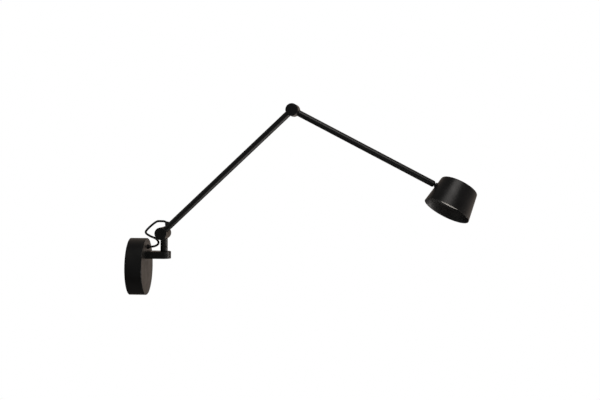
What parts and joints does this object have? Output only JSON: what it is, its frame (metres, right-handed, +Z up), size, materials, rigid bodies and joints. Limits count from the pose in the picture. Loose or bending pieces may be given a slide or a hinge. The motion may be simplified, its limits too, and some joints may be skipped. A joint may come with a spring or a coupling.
{
  "type": "articulating wall lamp",
  "caption": "Wall lamp with two tubular arms on friction knuckles, a swivelling post on a round canopy's outrigger bar, and a conical shade that rolls about the arm.",
  "frame": {"origin": "centre of the wall plate's back face, on the wall, midway between its two screw slots", "axes": "+X out of the wall, +Y along the wall, +Z up"},
  "size_m": [0.7151, 0.1793, 0.4019],
  "materials": {
    "satin_black_coat": "satin black powder coat on steel",
    "satin_black_shade": "satin black powder coat on spun aluminium",
    "satin_black_anodised": "satin black anodised, turned or drawn",
    "zinc_plate": "zinc-plated pressed steel",
    "steel_screw": "plated steel fastener",
    "black_screw": "black oxide",
    "driver_case": "moulded white-grey",
    "terminal_plastic": "moulded natural",
    "bush_plastic": "moulded acetal",
    "black_plastic": "moulded black",
    "cable_rubber": "moulded black boot",
    "cable_jacket": "smooth black jacket",
    "fibre": "pressed fibre friction washer",
    "cast_aluminium": "die cast, bead blasted",
    "board_white": "white solder mask on metal core",
    "phosphor": "light source phosphor",
    "frosted_acrylic": "frosted opal acrylic",
    "lead_jacket": "inner lead, smooth jacket"
  },
  "bodies": {
    "wall_base": {"wall_plate": "zinc_plate", "canopy_cover": "satin_black_coat", "canopy_grub_screws": "black_screw", "backing_plate": "zinc_plate", "bar_screws": "steel_screw", "led_driver": "driver_case", "terminal_block": "terminal_plastic", "terminal_screws": "steel_screw", "earth_screw": "steel_screw", "outrigger_bar": "satin_black_coat", "swivel_collar": "satin_black_anodised", "swivel_bush_upper": "bush_plastic", "swivel_bush_lower": "bush_plastic", "swivel_stop_pin": "steel_screw", "swivel_plug": "black_plastic", "canopy_grommet": "cable_rubber", "supply_cable_lower": "cable_jacket", "mains_leads": "lead_jacket", "driver_output_lead": "lead_jacket"},
    "swivel_post": {"post": "satin_black_anodised", "swivel_stop_washer": "steel_screw", "swivel_spring": "steel_screw", "swivel_nut": "steel_screw", "shoulder_hub_rear": "satin_black_anodised", "shoulder_cap_rear": "satin_black_anodised", "shoulder_pivot": "steel_screw", "shoulder_springs": "steel_screw", "shoulder_nut": "steel_screw", "shoulder_stop_pin": "steel_screw", "supply_cable_upper": "cable_jacket"},
    "lower_arm": {"shoulder_hub_front": "satin_black_anodised", "shoulder_cap_front": "satin_black_anodised", "shoulder_friction_washer": "fibre", "lower_arm_tube": "satin_black_anodised", "arm_cable_gland": "cable_rubber", "elbow_hub_front": "satin_black_anodised", "elbow_cap_front": "satin_black_anodised", "elbow_friction_washer": "fibre"},
    "upper_arm": {"elbow_hub_rear": "satin_black_anodised", "elbow_cap_rear": "satin_black_anodised", "elbow_pivot": "steel_screw", "elbow_springs": "steel_screw", "elbow_nut": "steel_screw", "elbow_stop_pin": "steel_screw", "upper_arm_tube": "satin_black_anodised", "tube_end_plug": "satin_black_anodised"},
    "head": {"neck_stud": "satin_black_anodised", "neck_nut": "steel_screw", "neck_spring": "steel_screw", "neck_collar": "satin_black_anodised", "shade": "satin_black_shade", "heat_sink": "cast_aluminium", "led_board": "board_white", "led_chips": "phosphor", "board_screws": "steel_screw", "diffuser": "frosted_acrylic", "diffuser_bezel": "black_plastic"}
  },
  "joints": [
    {"name": "post_swivel", "type": "hinge", "parent": "wall_base", "child": "swivel_post", "pos_m": [0.071, 0, 0], "axis": [0, 0, 1], "range_deg": [-84, 96], "deforming": ["supply_cable_lower"]},
    {"name": "lower_arm_tilt", "type": "hinge", "parent": "swivel_post", "child": "lower_arm", "pos_m": [0.071, 0, 0.0715], "axis": [-0.1045, -0.9945, 0], "range_deg": [-73.2, 46.8], "deforming": ["supply_cable_upper"]},
    {"name": "elbow_tilt", "type": "hinge", "parent": "lower_arm", "child": "upper_arm", "pos_m": [0.34359, -0.02865, 0.32889], "axis": [-0.1045, -0.9945, 0], "range_deg": [-79.4, 160.6]},
    {"name": "shade_roll", "type": "hinge", "parent": "upper_arm", "child": "head", "pos_m": [0.67117, -0.06308, 0.15816], "axis": [0.883, -0.0928, -0.4602], "range_deg": [-152.6, 187.4]}
  ]
}
